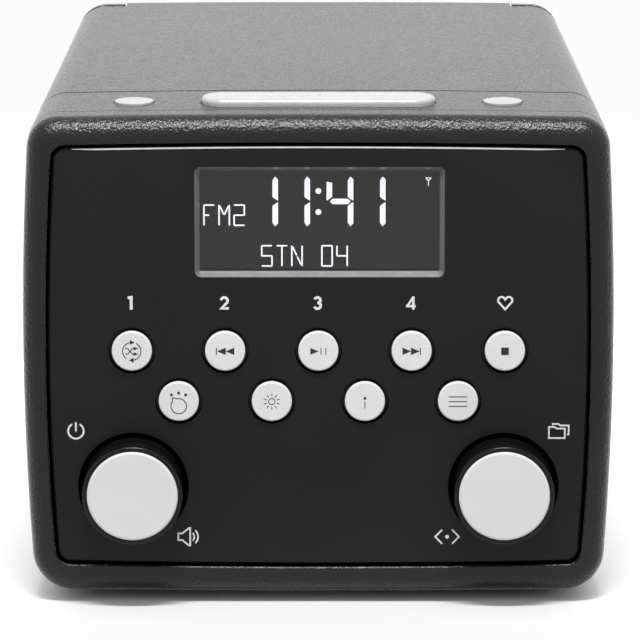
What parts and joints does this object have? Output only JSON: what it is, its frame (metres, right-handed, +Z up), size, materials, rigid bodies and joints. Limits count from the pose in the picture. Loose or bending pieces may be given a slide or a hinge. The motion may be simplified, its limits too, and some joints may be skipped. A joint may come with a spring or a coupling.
{
  "type": "tabletop radio",
  "caption": "Near-cubic clock radio with a barrel-shaped front, display, round buttons, two knobs and a top-loading disc lid.",
  "frame": {"origin": "on the table under the middle of the whole object", "axes": "+Z up, front faces -Y, +X to the right seen from the front"},
  "size_m": [0.1708, 0.2282, 0.146],
  "materials": {
    "cabinet_black": "fine leather-like moulded grain, satin",
    "panel_black": "smooth satin",
    "display_bezel": "smooth satin",
    "window": "clear, polished",
    "lcd": "dark negative display",
    "backlight": "diffusing light guide",
    "circuit_board": "solder mask",
    "switch_plastic": "moulded",
    "button_white": "satin, slightly domed",
    "knob_black": "semi-gloss",
    "steel": "plated",
    "deck_plastic": "satin",
    "chrome_tube": "bright plated",
    "hinge_black": "moulded",
    "rubber": "matt",
    "speaker_paper": "pressed pulp"
  },
  "bodies": {
    "cabinet": {"front_bezel": "cabinet_black", "control_band": "cabinet_black", "rear_housing": "cabinet_black", "rear_panel": "cabinet_black", "left_grille": "cabinet_black", "right_grille": "cabinet_black", "front_panel": "panel_black", "display_frame": "display_bezel", "display_window": "window", "lcd_glass": "lcd", "lcd_backlight": "backlight", "front_board": "circuit_board", "top_board": "circuit_board", "main_board": "circuit_board", "tact_switches": "switch_plastic", "rear_sockets": "switch_plastic", "lid_hinge_pin": "steel", "loader_chassis": "steel", "spindle_motor": "steel", "guide_rod": "steel", "sled_motor": "steel", "left_speaker_frame": "steel", "right_speaker_frame": "steel", "screws": "steel", "volume_encoder": "steel", "tuning_encoder": "steel", "cd_deck": "deck_plastic", "well_floor": "deck_plastic", "loader_grommets": "rubber", "feet": "rubber", "left_speaker_cone": "speaker_paper", "right_speaker_cone": "speaker_paper"},
    "preset_1_button": {"preset_1_button": "button_white"},
    "preset_2_button": {"preset_2_button": "button_white"},
    "preset_3_button": {"preset_3_button": "button_white"},
    "preset_4_button": {"preset_4_button": "button_white"},
    "favourite_button": {"favourite_button": "button_white"},
    "source_button": {"source_button": "button_white"},
    "dimmer_button": {"dimmer_button": "button_white"},
    "info_button": {"info_button": "button_white"},
    "menu_button": {"menu_button": "button_white"},
    "snooze_bar": {"snooze_bar": "button_white"},
    "alarm_1_button": {"alarm_1_button": "button_white"},
    "alarm_2_button": {"alarm_2_button": "button_white"},
    "volume_rotor": {"volume_encoder_rotor": "steel"},
    "volume_knob": {"volume_shaft": "steel", "volume_knob": "knob_black", "volume_knob_cap": "button_white"},
    "tuning_rotor": {"tuning_encoder_rotor": "steel"},
    "tuning_knob": {"tuning_shaft": "steel", "tuning_knob": "knob_black", "tuning_knob_cap": "button_white"},
    "lid": {"cd_lid": "cabinet_black"},
    "turntable": {"turntable": "deck_plastic"},
    "pickup": {"optical_pickup": "deck_plastic"},
    "lead_screw": {"lead_screw": "steel"},
    "aerial_base": {"aerial_base": "hinge_black"},
    "aerial_tube": {"aerial_tube": "chrome_tube"},
    "aerial_middle": {"aerial_middle": "chrome_tube"},
    "aerial_tip": {"aerial_tip": "chrome_tube"}
  },
  "joints": [
    {"name": "preset_1_button_press", "type": "slide", "parent": "cabinet", "child": "preset_1_button", "axis": [0, 1, 0], "range_m": [0, 0.0008], "stiffness_N_per_m": 400, "springref_m": -0.001},
    {"name": "preset_2_button_press", "type": "slide", "parent": "cabinet", "child": "preset_2_button", "axis": [0, 1, 0], "range_m": [0, 0.0008], "stiffness_N_per_m": 400, "springref_m": -0.001},
    {"name": "preset_3_button_press", "type": "slide", "parent": "cabinet", "child": "preset_3_button", "axis": [0, 1, 0], "range_m": [0, 0.0008], "stiffness_N_per_m": 400, "springref_m": -0.001},
    {"name": "preset_4_button_press", "type": "slide", "parent": "cabinet", "child": "preset_4_button", "axis": [0, 1, 0], "range_m": [0, 0.0008], "stiffness_N_per_m": 400, "springref_m": -0.001},
    {"name": "favourite_button_press", "type": "slide", "parent": "cabinet", "child": "favourite_button", "axis": [0, 1, 0], "range_m": [0, 0.0008], "stiffness_N_per_m": 400, "springref_m": -0.001},
    {"name": "source_button_press", "type": "slide", "parent": "cabinet", "child": "source_button", "axis": [0, 1, 0], "range_m": [0, 0.0008], "stiffness_N_per_m": 400, "springref_m": -0.001},
    {"name": "dimmer_button_press", "type": "slide", "parent": "cabinet", "child": "dimmer_button", "axis": [0, 1, 0], "range_m": [0, 0.0008], "stiffness_N_per_m": 400, "springref_m": -0.001},
    {"name": "info_button_press", "type": "slide", "parent": "cabinet", "child": "info_button", "axis": [0, 1, 0], "range_m": [0, 0.0008], "stiffness_N_per_m": 400, "springref_m": -0.001},
    {"name": "menu_button_press", "type": "slide", "parent": "cabinet", "child": "menu_button", "axis": [0, 1, 0], "range_m": [0, 0.0008], "stiffness_N_per_m": 400, "springref_m": -0.001},
    {"name": "snooze_bar_press", "type": "slide", "parent": "cabinet", "child": "snooze_bar", "axis": [0, 0, -1], "range_m": [0, 0.0008], "stiffness_N_per_m": 500, "springref_m": -0.001},
    {"name": "alarm_1_button_press", "type": "slide", "parent": "cabinet", "child": "alarm_1_button", "axis": [0, 0, -1], "range_m": [0, 0.0008], "stiffness_N_per_m": 500, "springref_m": -0.001},
    {"name": "alarm_2_button_press", "type": "slide", "parent": "cabinet", "child": "alarm_2_button", "axis": [0, 0, -1], "range_m": [0, 0.0008], "stiffness_N_per_m": 500, "springref_m": -0.001},
    {"name": "volume_turn", "type": "hinge", "parent": "cabinet", "child": "volume_rotor", "pos_m": [-0.0536, -0.08835, 0.0349], "axis": [0, -1, 0], "continuous": true},
    {"name": "volume_push", "type": "slide", "parent": "volume_rotor", "child": "volume_knob", "axis": [0, 1, 0], "range_m": [0, 0.0008], "stiffness_N_per_m": 800, "springref_m": -0.001},
    {"name": "tuning_turn", "type": "hinge", "parent": "cabinet", "child": "tuning_rotor", "pos_m": [0.0536, -0.08835, 0.0349], "axis": [0, -1, 0], "continuous": true},
    {"name": "tuning_push", "type": "slide", "parent": "tuning_rotor", "child": "tuning_knob", "axis": [0, 1, 0], "range_m": [0, 0.0008], "stiffness_N_per_m": 800, "springref_m": -0.001},
    {"name": "lid_hinge", "type": "hinge", "parent": "cabinet", "child": "lid", "pos_m": [0, 0.10065, 0.1405], "axis": [-1, 0, 0], "range_deg": [0, 70]},
    {"name": "disc_spin", "type": "hinge", "parent": "cabinet", "child": "turntable", "pos_m": [0, 0.01715, 0.113], "axis": [0, 0, 1], "continuous": true},
    {"name": "pickup_slide", "type": "slide", "parent": "cabinet", "child": "pickup", "axis": [0, -1, 0], "range_m": [0, 0.034]},
    {"name": "lead_screw_turn", "type": "hinge", "parent": "cabinet", "child": "lead_screw", "pos_m": [0.027, -0.01285, 0.1015], "axis": [0, 1, 0], "range_deg": [0, 2450]},
    {"name": "aerial_swivel", "type": "hinge", "parent": "cabinet", "child": "aerial_base", "pos_m": [-0.058, 0.10465, 0.118], "axis": [0, -1, 0], "range_deg": [0, 180]},
    {"name": "aerial_tilt", "type": "hinge", "parent": "aerial_base", "child": "aerial_tube", "pos_m": [-0.058, 0.11105, 0.118], "axis": [0, 0, 1], "range_deg": [0, 90]},
    {"name": "aerial_middle_slide", "type": "slide", "parent": "aerial_tube", "child": "aerial_middle", "axis": [1, 0, 0], "range_m": [0, 0.095]},
    {"name": "aerial_tip_slide", "type": "slide", "parent": "aerial_middle", "child": "aerial_tip", "axis": [1, 0, 0], "range_m": [0, 0.09]}
  ],
  "couplings": [
    {"joint": "lead_screw_turn", "follows": "pickup_slide", "rad_per_m": 1256.6}
  ]
}
